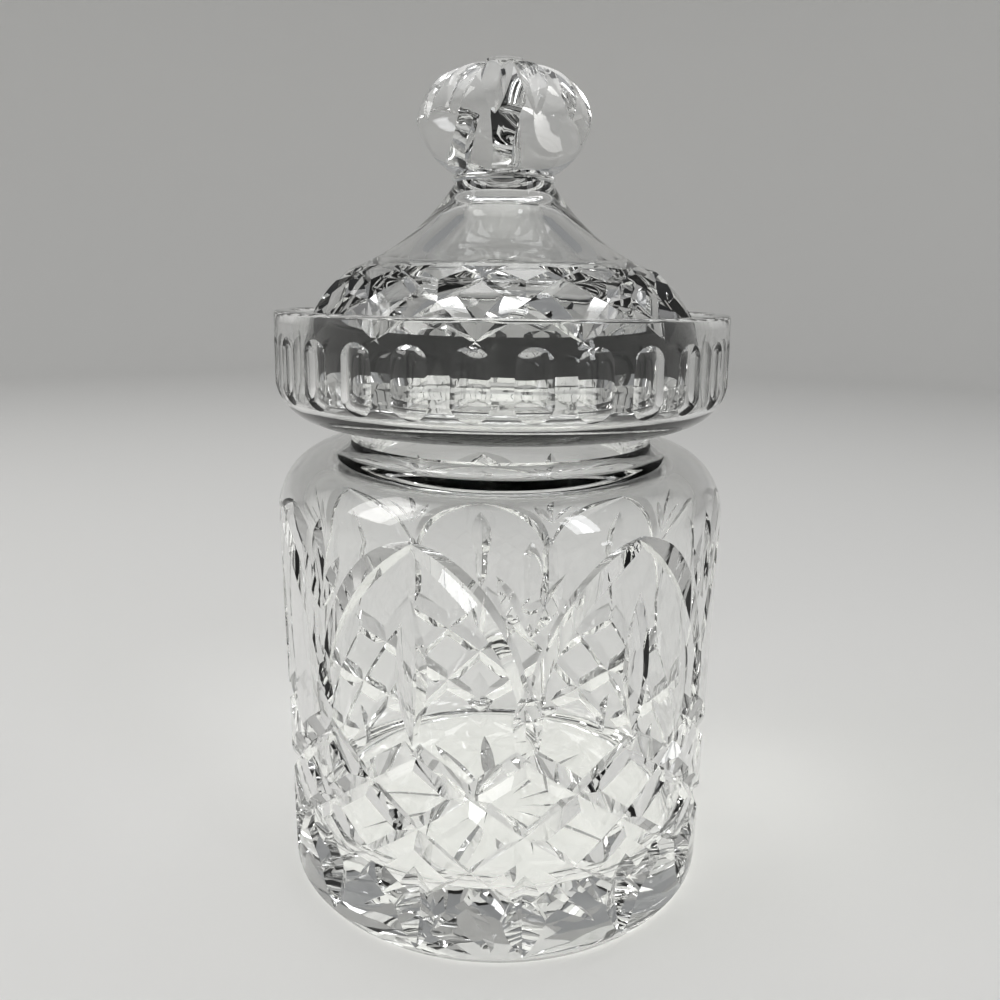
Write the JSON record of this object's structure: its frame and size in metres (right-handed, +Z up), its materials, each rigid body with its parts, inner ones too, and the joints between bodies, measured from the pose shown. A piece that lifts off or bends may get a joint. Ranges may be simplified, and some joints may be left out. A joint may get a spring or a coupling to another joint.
{
  "type": "biscuit jar",
  "caption": "Cut glass biscuit jar: a straight cylinder with arches over a diamond lattice, a short neck, a deep fluted collar and a domed lift-off lid with a ball knob.",
  "frame": {"origin": "centre of the foot, on the surface the jar stands on", "axes": "+Z up the jar's axis towards the knob; -Y is the side towards the viewer in the picture"},
  "size_m": [0.122, 0.122, 0.2183],
  "materials": {
    "crystal": "polished cut lead crystal"
  },
  "bodies": {
    "jar": {"jar": "crystal"},
    "lid": {"lid": "crystal"}
  },
  "joints": [
    {"name": "lid_lift", "type": "slide", "parent": "jar", "child": "lid", "axis": [0, 0, 1], "range_m": [0, 0.06]}
  ]
}
